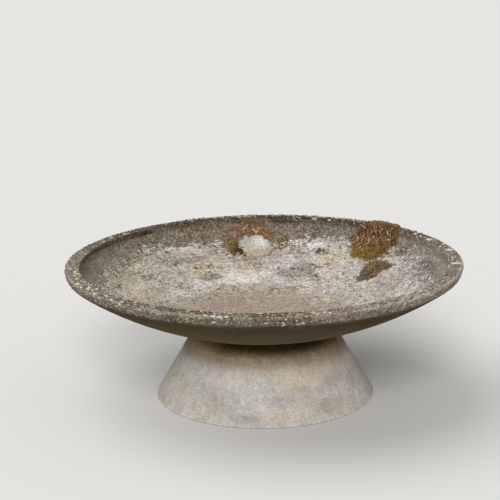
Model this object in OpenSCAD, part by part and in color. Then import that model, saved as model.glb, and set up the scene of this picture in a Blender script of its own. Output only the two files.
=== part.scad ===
// Bowl planter: a wide, shallow dish with a thick rim, standing loose on a hollow conical base.
// Millimetres, +Z up. The origin is the middle of the base's foot, on the ground.

/* [Dish] */
// Outside diameter of the bowl, across its rim
bowl_d = 1100; // [1000:10:1200]
// Radius of the sphere that the underside of the dish follows
dish_r = 937; // [860:1:1100]
// Wall thickness of the dish, square to its surface
dish_wall = 18; // [12:0.5:24]
// Diameter of the drain hole in the middle of the dish
drain_d = 30; // [16:1:50]

/* [Rim] */
// Width of the rim, from its outside to the face inside it
rim_w = 42; // [36:1:56]
// Height of the band round the outside of the rim
band_h = 28; // [22:1:36]
// How far the band draws in on its way down to the dish
band_draw = 6; // [1:0.5:9]
// Rounding of the rim's outer top edge
rim_outer_round = 8; // [3:0.5:12]
// Rounding of the rim's inner top edge
rim_inner_round = 5; // [2:0.5:8]
// Radius of the cove where the rim's inner face runs out into the dish
cove_r = 24; // [12:1:30]

/* [Base] */
// Outside diameter of the foot
foot_d = 611; // [540:1:680]
// Height of the base at the outside of its top edge
base_h = 201; // [170:1:230]
// Lean of the base's side, in degrees from upright
base_lean = 30; // [24:1:34]
// Wall thickness of the base, square to its side
base_wall = 16; // [10:0.5:22]
// Rounding of the foot's outer edge
foot_round = 2; // [1:0.5:4]

/* [Fit] */
// Gap between the bowl's underside and its seat on the base
seat_gap = 0.3; // [0.2:0.05:0.6]

/* [Hidden] */
$fn = 240;

// Overrun of a cut past the face that it opens
cut = 10;

// Base: the line of its side carried down to the ground, and its top edge
side_foot_r = foot_d / 2 + foot_round * ((1 + sin(base_lean)) / cos(base_lean) - 1);
base_top_r = side_foot_r - base_h * tan(base_lean);
wall_across = base_wall / cos(base_lean);

// Seat: the base's top edge is cut to the dish's own sphere, one gap larger
seat_r = dish_r + seat_gap;
dish_z = base_h + sqrt(pow(seat_r, 2) - pow(base_top_r, 2));

// Rim: where the band leaves the dish, and the top of the bowl
rim_r = bowl_d / 2;
lip_r = rim_r - rim_w;
band_low_r = rim_r - band_draw;
band_low_z = dish_z - sqrt(pow(dish_r, 2) - pow(band_low_r, 2));
rim_z = band_low_z + band_h;

// Hollow of the dish: a sphere one wall inside the underside, and the cove that ends it
hollow_r = dish_r - dish_wall;
cove_x = lip_r - cove_r;
cove_z = dish_z - sqrt(pow(hollow_r - cove_r, 2) - pow(cove_x, 2));

// Radius of the base's side, less a distance inwards, at a height
function side_r(z, inwards = 0) = side_foot_r - inwards - z * tan(base_lean);

// Point where the line from q brushes the right-hand side of a circle
function tangent_point(q, centre, r) =
    let (v = centre - q,
         reach = norm(v),
         a = atan2(v[1], v[0]) - asin(r / reach))
    q + sqrt(pow(reach, 2) - pow(r, 2)) * [cos(a), sin(a)];

// Everything inside the outside of the bowl, from its axis out to the band
module bowl_outside() {
    round_centre = [rim_r - rim_outer_round, rim_z - rim_outer_round];
    intersection() {
        translate([0, dish_z])
            circle(r = dish_r);
        union() {
            polygon([
                [0, 0],
                [band_low_r, 0],
                [band_low_r, band_low_z],
                tangent_point([band_low_r, band_low_z], round_centre, rim_outer_round),
                [round_centre[0], rim_z],
                [0, rim_z]
            ]);
            translate(round_centre)
                circle(r = rim_outer_round);
        }
    }
}

// The hollow that holds the soil: sphere, cove, upright lip face and rounded mouth.
// The sphere stops on the line from its centre through the cove's, where the two touch.
module bowl_hollow() {
    past = 1.5 * [cove_x, cove_z - dish_z] + [0, dish_z];
    intersection() {
        translate([0, dish_z])
            circle(r = hollow_r);
        polygon([[0, dish_z], [0, past[1]], past]);
    }
    translate([cove_x, cove_z])
        circle(r = cove_r);
    translate([0, cove_z])
        square([lip_r, rim_z - cove_z + cut]);
    difference() {
        translate([lip_r - cut, rim_z - rim_inner_round])
            square([cut + rim_inner_round, rim_inner_round + cut]);
        translate([lip_r + rim_inner_round, rim_z - rim_inner_round])
            circle(r = rim_inner_round);
    }
}

// Wall of the base: rounded foot, straight leaning side, top edge cut to the seat
module base_section() {
    round_x = foot_d / 2 - foot_round;
    top_z = base_h + cut;
    difference() {
        union() {
            polygon([
                [side_r(0, wall_across), 0],
                [round_x, 0],
                [round_x + foot_round * cos(base_lean), foot_round * (1 + sin(base_lean))],
                [side_r(top_z), top_z],
                [side_r(top_z, wall_across), top_z]
            ]);
            translate([round_x, foot_round])
                circle(r = foot_round);
        }
        translate([0, dish_z])
            circle(r = seat_r);
    }
}

// Hollow cone, open below, that carries the bowl on its top edge
module base() {
    color("#b9b2a3")
        rotate_extrude()
            base_section();
}

// The dish and its rim, one casting, with the drain hole bored through its middle
module bowl() {
    color("#8f897a")
        difference() {
            rotate_extrude()
                difference() {
                    bowl_outside();
                    bowl_hollow();
                }
            translate([0, 0, dish_z - dish_r - cut])
                cylinder(h = dish_wall + 2 * cut, d = drain_d);
        }
}

base();
bowl();
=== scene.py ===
"""Weathered bowl planter on its conical base: finishes, deposits and moss round the solids, in metres."""

import math

import bpy
import numpy as np
from mathutils import Matrix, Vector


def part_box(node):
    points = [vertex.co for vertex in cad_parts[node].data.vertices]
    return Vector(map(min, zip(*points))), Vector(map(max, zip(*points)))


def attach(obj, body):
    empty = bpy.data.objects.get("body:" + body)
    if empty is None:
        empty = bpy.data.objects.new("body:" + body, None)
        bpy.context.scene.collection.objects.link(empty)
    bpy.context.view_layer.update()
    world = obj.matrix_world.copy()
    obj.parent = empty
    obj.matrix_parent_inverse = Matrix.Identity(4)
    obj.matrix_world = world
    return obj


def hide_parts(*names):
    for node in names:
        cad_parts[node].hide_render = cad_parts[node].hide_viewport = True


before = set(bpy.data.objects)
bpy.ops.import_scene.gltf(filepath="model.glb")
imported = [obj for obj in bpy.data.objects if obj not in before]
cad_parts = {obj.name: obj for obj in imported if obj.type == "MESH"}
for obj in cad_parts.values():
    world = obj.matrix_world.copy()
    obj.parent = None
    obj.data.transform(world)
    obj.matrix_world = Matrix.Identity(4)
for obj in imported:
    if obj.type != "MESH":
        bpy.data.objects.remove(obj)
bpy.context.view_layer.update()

MM = 0.001

# --- Camera: a person's eye, four metres away ----------------------------------------------------

EYE = (0.0095, -4.0069, 1.4409)
EYE_DOWN = math.radians(14.427)
EYE_LEFT = math.radians(0.667)
EYE_ROLL = math.radians(-0.898)
EYE_ANGLE = math.radians(19)


def set_camera():
    """Level camera looking along +Y, then rolled, pitched down and turned a little to the left."""
    lens = bpy.data.cameras.new("eye")
    lens.angle = EYE_ANGLE
    eye = bpy.data.objects.new("eye", lens)
    turn = (Matrix.Rotation(EYE_LEFT, 4, "Z") @ Matrix.Rotation(math.pi / 2 - EYE_DOWN, 4, "X")
            @ Matrix.Rotation(EYE_ROLL, 4, "Z"))
    eye.matrix_world = Matrix.Translation(EYE) @ turn
    bpy.context.scene.collection.objects.link(eye)
    bpy.context.scene.camera = eye


set_camera()

# --- Sizes of the two castings --------------------------------------------------------------------

BOWL_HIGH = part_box("bowl")[1]
BASE_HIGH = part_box("base")[1]

DISH_R = 937 * MM          # sphere of the underside
DISH_WALL = 18 * MM
DRAIN_R = 15 * MM
RIM_W = 42 * MM
BAND_H = 28 * MM
BAND_DRAW = 6 * MM
OUTER_ROUND = 8 * MM
INNER_ROUND = 5 * MM
BAND_EASE = 4 * MM         # worn corner under the band
COVE_R = 24 * MM

RIM_R = BOWL_HIGH.x
RIM_Z = BOWL_HIGH.z
LIP_R = RIM_R - RIM_W
BAND_LOW = np.array([RIM_R - BAND_DRAW, RIM_Z - BAND_H])
# Centre of the dish's two spheres: the outer one runs through the band's lower edge
DISH_Z = BAND_LOW[1] + math.sqrt(DISH_R**2 - BAND_LOW[0] ** 2)
HOLLOW_R = DISH_R - DISH_WALL
# Centre of the cove, which touches the lip and the hollow's sphere
COVE_X = LIP_R - COVE_R
COVE_Z = DISH_Z - math.sqrt((HOLLOW_R - COVE_R) ** 2 - COVE_X**2)
COVE_START = math.atan2(COVE_Z - DISH_Z, COVE_X)

FOOT_R = BASE_HIGH.x
BASE_H = BASE_HIGH.z
BASE_LEAN = math.radians(30)
BASE_WALL = 16 * MM
FOOT_ROUND = 2 * MM
SEAT_GAP = 0.3 * MM
# Where the line of the side meets the ground, outside the rounded foot
SIDE_FOOT_R = FOOT_R + FOOT_ROUND * ((1 + math.sin(BASE_LEAN)) / math.cos(BASE_LEAN) - 1)

RIM_TURN = 1200            # points round the rim, 3 mm apart
BASE_TURN = 720

# --- Random fields, worked out on whole arrays ----------------------------------------------------


CELL_FACTORS = np.array([0x8DA6B343, 0xD8163841, 0xCB1AB31F], np.uint32)
SEED_FACTOR = 0x9E3779B1
MIXING = ((15, 0x2C1B3C6D), (12, 0x297A2D39), (15, 1))     # three times a shift to the right and a factor
LARGEST = 0xFFFFFFFF       # of the whole numbers with 32 bits


def hashed(cell, seed):
    """Fixed random number from 0 to 1 for each cell: its three indices, multiplied, shifted and mixed."""
    k = cell.astype(np.int64).astype(np.uint32)
    h = np.bitwise_xor.reduce(k * CELL_FACTORS, axis=-1) ^ np.uint32((seed * SEED_FACTOR) & LARGEST)
    for shift, factor in MIXING:
        h = (h ^ (h >> np.uint32(shift))) * np.uint32(factor)
    return h.astype(np.float64) / LARGEST


def soft_noise(points, size, seed):
    """Smooth field from 0 to 1: random values on a cubic lattice of that size, eased between its corners."""
    q = points / size
    low = np.floor(q)
    f = q - low
    f = f * f * (3 - 2 * f)
    total = np.zeros(points.shape[:-1])
    for corner in np.ndindex(2, 2, 2):
        share = np.prod(np.where(corner, f, 1 - f), axis=-1)
        total += share * hashed(low + corner, seed)
    return total


def rough_noise(points, size, seed, octaves=3):
    """Sum of soft fields, each half the size and half the height of the one before, scaled to 0 to 1."""
    heights = 0.5 ** np.arange(octaves)
    fields = [soft_noise(points, size * h, seed + i) for i, h in enumerate(heights)]
    return np.tensordot(heights, np.array(fields), 1) / heights.sum()


def nearest_seed(points, size, seed):
    """Distance to the nearest random point, one in each cube of that size, and that point's own number."""
    q = points / size
    low = np.floor(q)
    best = np.full(points.shape[:-1], 9.0)
    number = np.zeros(points.shape[:-1])
    for step in np.ndindex(3, 3, 3):
        cell = low + step - 1
        spot = cell + np.stack([hashed(cell, seed + k) for k in (1, 2, 3)], -1)
        gap = np.linalg.norm(q - spot, axis=-1)
        near = gap < best
        best = np.where(near, gap, best)
        number = np.where(near, hashed(cell, seed + 4), number)
    return best * size, number


def ease(low, high, x):
    """0 at low, 1 at high, and a smooth step between them; low may lie above high."""
    t = np.clip((x - low) / (high - low), 0, 1)
    return t * t * (3 - 2 * t)


def pits(points, size, share, radius, seed):
    """Round hollows from 0 to 1 deep: a share of the cells holds one, of its own width up to the radius."""
    gap, number = nearest_seed(points, size, seed)
    wide = radius * (0.45 + 0.55 * number / share)
    return np.where(number < share, 1 - ease(0.35 * wide, wide, gap), 0)


# --- Sections: closed outlines of (radius, height), turned about the axis --------------------------


def arc(centre, radius, start, end, count):
    """Points on a circle, its angles in radians from the outward direction towards up."""
    a = np.linspace(start, end, count)
    return np.column_stack([centre[0] + radius * np.cos(a), centre[1] + radius * np.sin(a)])


def sphere_line(start_r, end_r, count, sphere_r):
    """Points below a sphere's centre at even radii: height = centre - root(sphere radius^2 - radius^2)."""
    r = np.linspace(start_r, end_r, count)
    return np.column_stack([r, DISH_Z - np.sqrt(sphere_r**2 - r**2)])


def eased_corner(before, corner, after, count):
    """Quadratic curve from before to after, drawn towards the corner."""
    t = np.linspace(0, 1, count)[:, None]
    return (1 - t) ** 2 * before + 2 * t * (1 - t) * corner + t**2 * after


def bowl_stretches():
    """The bowl's section, from the drain out over the rim and back below it.

    Each stretch has a name, its points, and the number of points that each of them makes in a turn.
    """
    inner = (LIP_R + INNER_ROUND, RIM_Z - INNER_ROUND)
    outer = np.array([RIM_R - OUTER_ROUND, RIM_Z - OUTER_ROUND])
    v = outer - BAND_LOW
    # Angle at which the band's line, from its lower edge, touches the round of the outer edge
    brush = math.atan2(v[1], v[0]) - math.asin(OUTER_ROUND / np.linalg.norm(v)) - math.pi / 2
    band_top = arc(outer, OUTER_ROUND, brush, brush, 1)[0]
    band_end = BAND_LOW + BAND_EASE * (band_top - BAND_LOW) / np.linalg.norm(band_top - BAND_LOW)
    under_r = BAND_LOW[0] - BAND_EASE
    under_start = sphere_line(under_r, under_r, 1, DISH_R)[0]
    cove_r = COVE_X + COVE_R * math.cos(COVE_START)
    steps = [DRAIN_R, 45 * MM, 110 * MM, 250 * MM]         # radii where the points per turn change
    drain_low = sphere_line(DRAIN_R, DRAIN_R, 1, DISH_R)[0]
    drain_top = sphere_line(DRAIN_R, DRAIN_R, 1, HOLLOW_R)[0]
    return [
        ("dish", sphere_line(steps[0], steps[1], 5, HOLLOW_R)[:-1], RIM_TURN // 16),
        ("dish", sphere_line(steps[1], steps[2], 8, HOLLOW_R)[:-1], RIM_TURN // 8),
        ("dish", sphere_line(steps[2], steps[3], 14, HOLLOW_R)[:-1], RIM_TURN // 4),
        ("dish", sphere_line(steps[3], cove_r, 49, HOLLOW_R)[:-1], RIM_TURN // 2),
        ("cove", arc((COVE_X, COVE_Z), COVE_R, COVE_START, 0, 9), RIM_TURN),
        ("lip", np.linspace((LIP_R, COVE_Z), (LIP_R, inner[1]), 6)[1:], RIM_TURN),
        ("top", arc(inner, INNER_ROUND, math.pi, math.pi / 2, 5)[1:], RIM_TURN),
        ("top", np.linspace((inner[0], RIM_Z), (outer[0], RIM_Z), 11)[1:], RIM_TURN),
        ("outer", arc(outer, OUTER_ROUND, math.pi / 2, brush, 7)[1:], RIM_TURN),
        ("outer", np.linspace(band_top, band_end, 7)[1:], RIM_TURN),
        ("outer", eased_corner(band_end, BAND_LOW, under_start, 4)[1:], RIM_TURN),
        ("under", sphere_line(under_r, steps[3], 25, DISH_R)[1:], RIM_TURN // 4),
        ("under", sphere_line(steps[3], steps[2], 9, DISH_R)[1:], RIM_TURN // 8),
        ("under", sphere_line(steps[2], steps[0], 9, DISH_R)[1:], RIM_TURN // 16),
        ("drain", np.linspace(drain_low, drain_top, 5)[1:-1], RIM_TURN // 16),
    ]


def base_stretches():
    """The base's section from the seat's inner edge out, down the side, under the foot and up the inside.

    The inner edge is where the inside meets the seat's sphere, found in six steps from a near first guess.
    """
    seat_r = DISH_R + SEAT_GAP
    run = math.tan(BASE_LEAN)
    across = BASE_WALL / math.cos(BASE_LEAN)
    top_r = SIDE_FOOT_R - BASE_H * run
    seat_z = BASE_H + math.sqrt(seat_r**2 - top_r**2)
    inner_r = top_r - across + 1.9 * MM
    for _ in range(6):
        inner_z = seat_z - math.sqrt(seat_r**2 - inner_r**2)
        inner_r = SIDE_FOOT_R - across - inner_z * run
    foot = (FOOT_R - FOOT_ROUND, FOOT_ROUND)
    side_end = arc(foot, FOOT_ROUND, BASE_LEAN, BASE_LEAN, 1)[0]
    seat = np.linspace(inner_r, top_r, 6)
    return [
        ("seat", np.column_stack([seat, seat_z - np.sqrt(seat_r**2 - seat**2)]), BASE_TURN),
        ("side", np.linspace((top_r, BASE_H), side_end, 76)[1:], BASE_TURN),
        ("side", arc(foot, FOOT_ROUND, BASE_LEAN, -math.pi / 2, 5)[1:], BASE_TURN),
        ("foot", np.linspace((foot[0], 0), (SIDE_FOOT_R - across, 0), 5)[1:], BASE_TURN),
        ("inside", np.linspace((SIDE_FOOT_R - across, 0), (inner_r, inner_z), 24)[1:-1], BASE_TURN),
    ]


class Section:
    """Rows of a closed outline: points, outward normals, names, points per turn, and distance along it."""

    def __init__(self, stretches):
        self.points = np.vstack([p for _, p, _ in stretches])
        self.names = np.array([name for name, p, _ in stretches for _ in p])
        self.turns = np.array([turn for _, p, turn in stretches for _ in p])
        ahead = np.roll(self.points, -1, 0) - np.roll(self.points, 1, 0)
        ahead /= np.linalg.norm(ahead, axis=1)[:, None]
        self.normals = np.column_stack([-ahead[:, 1], ahead[:, 0]])
        steps = np.linalg.norm(np.diff(self.points, axis=0), axis=1)
        self.run = np.concatenate([[0], np.cumsum(steps)])

    def turned(self):
        """Every point of the turned surface, row after row: place, outward normal, row number and angle."""
        row = np.repeat(np.arange(len(self.turns)), self.turns)
        angle = np.concatenate([np.arange(n) * 2 * math.pi / n for n in self.turns])
        turn = np.column_stack([np.cos(angle), np.sin(angle)])
        points = np.column_stack([self.points[row, :1] * turn, self.points[row, 1]])
        normals = np.column_stack([self.normals[row, :1] * turn, self.normals[row, 1]])
        return points, normals, row, angle

    def place(self, angle, run):
        """Point and outward normal of the turned surface at an angle and a distance along the section."""
        r, z, nr, nz = (np.interp(run, self.run, v) for v in (*self.points.T, *self.normals.T))
        size = np.hypot(nr, nz)
        point = np.stack([r * np.cos(angle), r * np.sin(angle), z], -1)
        normal = np.stack([nr / size * np.cos(angle), nr / size * np.sin(angle), nz / size], -1)
        return point, normal

    def run_at(self, distance):
        """Distance along the section at a radius in the dish. Past the lip the rest is laid over the rim."""
        inside = np.isin(self.names, ("dish", "cove"))
        lip_top = self.run[self.names == "lip"].max()
        in_dish = np.interp(distance, self.points[inside, 0], self.run[inside])
        return np.where(distance > LIP_R, lip_top + distance - LIP_R, in_dish)


def fan_faces(few, few_start, many, many_start):
    """Triangles between a row of few points and a row of a whole number of times as many."""
    i = np.arange(few)
    share = many // few
    half = (share + 1) // 2
    here, beyond = few_start + i, few_start + (i + 1) % few
    edge = [many_start + (i * share + s) % many for s in range(share + 1)]
    fans = [np.column_stack([here if s < half else beyond, edge[s], edge[s + 1]]) for s in range(share)]
    return np.vstack(fans + [np.column_stack([here, edge[half], beyond])])


def turned_faces(turns):
    """Faces of a closed turned surface: four-sided between equal rows, and fans where the count changes."""
    starts = np.concatenate([[0], np.cumsum(turns)])[:-1]
    faces = []
    for count, start, count2, start2 in zip(turns, starts, np.roll(turns, -1), np.roll(starts, -1)):
        if count == count2:
            i = np.arange(count)
            j = (i + 1) % count
            faces += np.column_stack([start + i, start2 + i, start2 + j, start + j]).tolist()
        elif count < count2:
            faces += fan_faces(count, start, count2, start2).tolist()
        else:
            faces += fan_faces(count2, start2, count, start)[:, ::-1].tolist()
    return faces


SHELL_FLOOR = 4 * MM       # how far a growth's floor lies inside the casting


def patch_shell(points, normals, height, keep):
    """Closed shell over the kept cells of a grid: a top at its height along the normals, a floor and walls.

    The top sinks under the casting's surface round its edge, so that only the growth itself shows. Where two
    kept cells touch only at a corner, the two between them are kept too, so that no edge has four faces.
    """
    for _ in range(3):
        a, b, c, d = keep[:-1, :-1], keep[1:, 1:], keep[1:, :-1], keep[:-1, 1:]
        cross = (a & b & ~c & ~d) | (~a & ~b & c & d)
        for block in (a, b, c, d):
            block |= cross
    keep = np.pad(keep, 1)
    rows, cols = height.shape
    top = points + height[..., None] * normals
    floor = points - SHELL_FLOOR * normals
    index = np.arange(rows * cols).reshape(rows, cols)
    corners = np.stack([index[:-1, :-1], index[1:, :-1], index[1:, 1:], index[:-1, 1:]], -1)
    kept = keep[1:-1, 1:-1]
    lower = rows * cols
    faces = [corners[kept], corners[kept][:, ::-1] + lower]
    beyond = (keep[1:-1, :-2], keep[2:, 1:-1], keep[1:-1, 2:], keep[:-2, 1:-1])
    for side, neighbour in enumerate(beyond):
        edge = corners[kept & ~neighbour]
        start, end = edge[:, side], edge[:, (side + 1) % 4]
        faces.append(np.column_stack([end, start, start + lower, end + lower]))
    faces = np.vstack(faces)
    used, faces = np.unique(faces, return_inverse=True)
    every = np.vstack([top.reshape(-1, 3), floor.reshape(-1, 3)])
    return every[used], faces.reshape(-1, 4)


# --- Pieces ---------------------------------------------------------------------------------------


def make_piece(name, points, faces, material, body, attributes):
    """Mesh object that rides on a body. Each attribute holds three numbers or a colour for each point."""
    mesh = bpy.data.meshes.new(name)
    mesh.from_pydata(points.tolist(), [], faces)
    mesh.polygons.foreach_set("use_smooth", np.ones(len(mesh.polygons), bool))
    for key, values in attributes.items():
        kind, field = ("FLOAT_COLOR", "color") if values.shape[1] == 4 else ("FLOAT_VECTOR", "vector")
        layer = mesh.attributes.new(key, kind, "POINT")
        layer.data.foreach_set(field, values.astype(np.float32).ravel())
    mesh.materials.append(material)
    mesh.update()
    piece = bpy.data.objects.new(name, mesh)
    bpy.context.scene.collection.objects.link(piece)
    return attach(piece, body)


# --- Node materials -------------------------------------------------------------------------------


def colour(code):
    """sRGB hex code to the linear colour that a shader takes."""
    parts = [int(code[i:i + 2], 16) / 255 for i in (1, 3, 5)]
    return [c / 12.92 if c <= 0.04045 else ((c + 0.055) / 1.055) ** 2.4 for c in parts] + [1.0]


def node(tree, kind, inputs=None, out=0, stops=(), **settings):
    """Adds a node with its settings, its inputs set or linked, and its colour ramp, and returns an output.

    It returns all the outputs when out is None or the node has none.
    """
    made = tree.nodes.new("ShaderNode" + kind)
    for key, value in settings.items():
        setattr(made, key, value)
    for key, value in (inputs or {}).items():
        if isinstance(value, bpy.types.NodeSocket):
            tree.links.new(value, made.inputs[key])
        else:
            made.inputs[key].default_value = value
    for i, (place, code) in enumerate(stops):
        stop = made.color_ramp.elements[i] if i < 2 else made.color_ramp.elements.new(place)
        stop.position = place
        stop.color = colour(code)
    return made.outputs if out is None or not made.outputs else made.outputs[out]


def new_material(name):
    """Empty node material and its tree."""
    material = bpy.data.materials.new(name)
    material.use_nodes = True
    material.node_tree.nodes.clear()
    return material, material.node_tree


def matte(tree, colours, roughness, specular, height, relief):
    """Ends a material in a matte shader whose small relief, in metres, comes from a height from 0 to 1."""
    bump = node(tree, "Bump", {"Height": height, "Distance": relief, "Strength": 1.0})
    shader = node(tree, "BsdfPrincipled", {
        "Base Color": colours, "Roughness": roughness, "Specular IOR Level": specular, "Normal": bump})
    node(tree, "OutputMaterial", {"Surface": shader})


# Fibre cement from its darkest grime to clean lime: brown while it is dark, nearly neutral where it is pale.
# A stop's place is the share of full brightness that its colour shows on a screen; the two ends come first.
CEMENT_TONES = ((0.08, "#19140c"), (0.92, "#edeae6"), (0.3, "#564c3e"), (0.45, "#7c7266"), (0.6, "#a39a8f"),
                (0.75, "#c6bfb7"))


def fibre_cement(name, speck, relief):
    """Fibre-reinforced cement, sprayed and pressed into a mould by hand and then left out in all weathers.

    That gives the eye a dead matt grey with fine specks and dark pinholes, whose shade is painted in, and
    pale lime dried on in streaks.
    The attribute level holds the tone of the bare cement, with the painted shade that some places carry, the
    tone of the lime film on it, and how much film there is. The attribute detail holds the contrast of the
    specks, of the streaks drawn round the axis, and of the pinholes. The attribute tint holds the stain that
    colours the result.
    Specks are a real size, in mm, and the patches and pinholes are sized from them.
    """
    material, tree = new_material(name)
    place = node(tree, "TexCoord", out="Object")
    level, detail = (
        node(tree, "SeparateXYZ", {0: node(tree, "Attribute", out="Vector", attribute_name=key)}, out=None)
        for key in ("level", "detail"))
    swirl = node(tree, "Attribute", out="Vector", attribute_name="swirl")
    # Streaks are about 4 mm wide and a tenth of a radian long
    around = node(tree, "VectorMath", {0: swirl, 1: (10, 10, 1 / (4 * MM))}, operation="MULTIPLY")
    # Where each field of noise is read, its scale, and its octaves past the first
    fields = {"speck": (place, 1 / (speck * MM), 2), "patch": (place, 1 / (2.6 * speck * MM), 3),
              "streak": (around, 1.0, 3), "pore": (place, 1 / (1.3 * speck * MM), 1)}
    noise = {key: node(tree, "TexNoise", {"Vector": at, "Scale": scale, "Detail": deep, "Roughness": 0.65})
             for key, (at, scale, deep) in fields.items()}
    ragged = node(tree, "Math", {0: noise["patch"], 1: noise["streak"]}, operation="ADD")
    ragged = node(tree, "Math", {0: ragged, 1: 1.3, 2: level[2]}, operation="MULTIPLY_ADD")
    film = node(tree, "MapRange", {"Value": ragged, "From Min": 1.5, "From Max": 2.1},
                interpolation_type="SMOOTHSTEP")
    tone = node(tree, "Mix", {0: film, 2: level[0], 3: level[1]})
    contrasts = (("speck", detail[0], 1.2), ("patch", detail[0], 0.7), ("streak", detail[1], 1.0))
    for key, amount, share in contrasts:
        centred = node(tree, "Math", {0: noise[key], 1: share, 2: -0.5 * share}, operation="MULTIPLY_ADD")
        tone = node(tree, "Math", {0: centred, 1: amount, 2: tone}, operation="MULTIPLY_ADD")
    # Pinholes are painted: dark spots that stand for the shade in small holes
    pore = node(tree, "MapRange", {"Value": noise["pore"], "From Min": 0.42, "From Max": 0.3},
                interpolation_type="SMOOTHSTEP")
    pore = node(tree, "Math", {0: pore, 1: detail[2]}, operation="MULTIPLY")
    tone = node(tree, "Math", {0: tone, 1: pore}, operation="SUBTRACT")
    grey = node(tree, "ValToRGB", {0: tone}, stops=CEMENT_TONES)
    tint = node(tree, "Attribute", out="Color", attribute_name="tint")
    # Inputs 6 and 7 and output 2 of this node are colours
    colours = node(tree, "Mix", {0: 1.0, 6: grey, 7: tint}, out=2, data_type="RGBA", blend_type="MULTIPLY")
    matte(tree, colours, 0.93, 0.15, noise["speck"], relief)
    return material


def living_matter(name, grain, relief, deepest):
    """Dry moss, lichen or lime scale, grown or dried in place out of fine stems, lobes or crystals.

    That gives the eye a soft, dull surface with no gloss, in small flecks of light and shade. Its colour is
    carried point by point, and a noise whose grain is a real size, in mm, shades it towards the deepest tone.
    """
    material, tree = new_material(name)
    place = node(tree, "TexCoord", out="Object")
    noise = node(tree, "TexNoise", {"Vector": place, "Scale": 1 / (grain * MM), "Detail": 2})
    tint = node(tree, "Attribute", out="Color", attribute_name="tint")
    shade = node(tree, "ValToRGB", {0: noise}, stops=((0.3, deepest), (0.7, "#ffffff")))
    colours = node(tree, "Mix", {0: 1.0, 6: tint, 7: shade}, out=2, data_type="RGBA", blend_type="MULTIPLY")
    matte(tree, colours, 0.95, 0.1, noise, relief)
    return material


# --- Marks of age, placed one by one --------------------------------------------------------------


def turn_from(angle, azimuth):
    """Angle from an azimuth in degrees, in radians, the short way round."""
    return np.angle(np.exp(1j * (angle - math.radians(azimuth))))


def degrees_from(angle, azimuth):
    """Degrees between an angle and an azimuth, without a sign."""
    return np.degrees(np.abs(turn_from(angle, azimuth)))


def towards(angle, azimuth, far, near):
    """1 within near degrees of an azimuth, 0 beyond far degrees, and a smooth step between them."""
    return ease(far, near, degrees_from(angle, azimuth))


def round_the_axis(table, angle):
    """Value at each angle, straight between the table's azimuths and closed on itself."""
    azimuth, value = np.array(table).T
    return np.interp(np.degrees(angle), azimuth, value, period=360)


# Where a spot ends and where it is full, as shares of its half sizes
SOFT_EDGE = (1.5, 0.4)
CLEAR_EDGE = (1.25, 0.7)


def spots(points, across, places, seed, soft=SOFT_EDGE):
    """Soft ragged ovals from 0 to 1. Each has an azimuth, a place and half sizes in mm, and a strength.

    The place is measured along across, which is the radius in the dish and the height on the base.
    """
    angle = np.arctan2(points[:, 1], points[:, 0])
    radius = np.hypot(points[:, 0], points[:, 1])
    stir = 0.9 * (rough_noise(points, 24 * MM, seed) - 0.5)
    total = np.zeros(len(points))
    for azimuth, middle, wide, deep, strength in places:
        gap = np.hypot(turn_from(angle, azimuth) * radius / (wide * MM), (across - middle * MM) / (deep * MM))
        total = np.maximum(total, strength * ease(*soft, gap + stir))
    return total


def stained(ground, count, stains):
    """Colour at each point: the ground's, drawn towards each stain's colour by its own cover."""
    tint = np.tile(colour(ground), (count, 1))
    for cover, code in stains:
        tint += (np.array(colour(code)) - tint) * cover[:, None]
    return tint


# --- The bowl -------------------------------------------------------------------------------------

# Edges of the deposits in the dish: azimuth in degrees from +X towards +Y, distance from the axis in mm
LIME_EDGE = [(-170, 452), (-140, 466), (-100, 480), (-60, 480), (-20, 466), (0, 456), (15, 472), (30, 478),
             (50, 484), (60, 480), (73, 476), (78, 458), (84, 440), (92, 450), (106, 460), (120, 463),
             (133, 479), (143, 472), (150, 466), (159, 462), (169, 458), (180, 456)]
SILT_EDGE = [(-170, 335), (-120, 290), (-60, 290), (0, 286), (12, 255), (24, 238), (48, 230), (60, 248),
             (90, 248), (120, 247), (150, 252), (167, 264), (175, 306), (180, 338)]
# Tone of the bare cement above the lime, and of the rim's top, band and inner lip, by azimuth
UPPER_TONE = [(-150, 0.45), (-60, 0.5), (-15, 0.52), (12, 0.53), (30, 0.51), (50, 0.43), (75, 0.41),
              (90, 0.44), (112, 0.43), (124, 0.44), (136, 0.47), (150, 0.45), (178, 0.44)]
RIM_TONE = [(-168, 0.48), (-156, 0.38), (-140, 0.45), (-120, 0.45), (-108, 0.4), (-96, 0.53), (-84, 0.4),
            (-72, 0.51), (-60, 0.46), (-48, 0.47), (-36, 0.47), (-24, 0.4), (-12, 0.46), (0, 0.43),
            (12, 0.43), (24, 0.37), (36, 0.28), (60, 0.22), (90, 0.19), (110, 0.22), (122, 0.28),
            (140, 0.26), (155, 0.34), (168, 0.44)]
BAND_TONE = [(-175, 0.48), (-156, 0.55), (-148, 0.52), (-132, 0.48), (-120, 0.53), (-108, 0.49), (-100, 0.51),
             (-88, 0.42), (-72, 0.56), (-57, 0.58), (-36, 0.67), (0, 0.6), (30, 0.52), (90, 0.42),
             (140, 0.42)]
# The inner lip is darker at the back and on the left, from dirt and painted shade, and pale with lime on the
# right
LIP_TONE = [(-90, 0.44), (0, 0.54), (12, 0.63), (24, 0.48), (40, 0.37), (60, 0.34), (84, 0.35), (120, 0.38),
            (134, 0.32), (150, 0.33), (168, 0.38), (180, 0.45)]
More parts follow.
